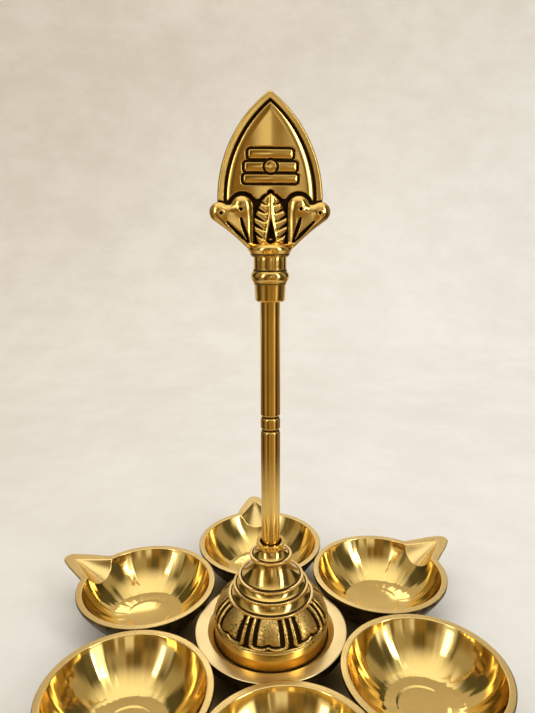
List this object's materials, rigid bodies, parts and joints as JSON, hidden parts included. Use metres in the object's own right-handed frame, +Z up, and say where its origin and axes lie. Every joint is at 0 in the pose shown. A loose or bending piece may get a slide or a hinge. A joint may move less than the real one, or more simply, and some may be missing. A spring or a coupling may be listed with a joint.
{
  "type": "oil lamp",
  "caption": "Standing brass oil lamp: a ring of lipped bowls round a lotus-petal bell, with a slim grip stem, a ferrule collar and a flat spear-head finial.",
  "frame": {"origin": "on the stem's axis, in the plane of the bowls' feet", "axes": "+Z up the stem, -Y out of the finial's ornamented face, +X to the viewer's right"},
  "size_m": [0.2106, 0.2418, 0.2435],
  "materials": {
    "bowl_brass": "polished inside, turned rim, dark cast skin outside",
    "dish_brass": "brushed rim, dark cast skin below",
    "bell_brass": "polished tiers, dark patina between the petals",
    "stem_brass": "turned and polished",
    "finial_brass": "polished field, dark pitted ground round the relief",
    "stud_brass": "as screwed",
    "braze": "rough dark braze",
    "steel": "plain"
  },
  "bodies": {
    "base": {"bowl_back_right": "bowl_brass", "bowl_back": "bowl_brass", "bowl_back_left": "bowl_brass", "bowl_front_left": "bowl_brass", "bowl_front": "bowl_brass", "bowl_front_right": "bowl_brass", "base_dish": "dish_brass", "bowl_brazes": "braze", "dish_brazes": "braze", "lotus_bell": "bell_brass", "tie_rod": "steel", "tie_washer": "steel", "tie_nut": "steel"},
    "stem_screw": {"stem_stud": "stud_brass"},
    "stem": {"stem_rod": "stem_brass", "ferrule_collar": "stem_brass"},
    "finial_screw": {"finial_stud": "stud_brass"},
    "finial": {"spear_finial": "finial_brass"}
  },
  "joints": [
    {"name": "stem_lift", "type": "slide", "parent": "base", "child": "stem_screw", "axis": [0, 0, 1], "range_m": [0, 0.0064]},
    {"name": "stem_unscrew", "type": "hinge", "parent": "stem_screw", "child": "stem", "pos_m": [0, 0, 0.0585], "axis": [0, 0, 1], "range_deg": [0, 2880]},
    {"name": "finial_lift", "type": "slide", "parent": "stem", "child": "finial_screw", "axis": [0, 0, 1], "range_m": [0, 0.0056]},
    {"name": "finial_unscrew", "type": "hinge", "parent": "finial_screw", "child": "finial", "pos_m": [0, 0, 0.1842], "axis": [0, 0, 1], "range_deg": [0, 2520]}
  ],
  "couplings": [
    {"joint": "stem_unscrew", "follows": "stem_lift", "rad_per_m": 7854},
    {"joint": "finial_unscrew", "follows": "finial_lift", "rad_per_m": 7854}
  ]
}
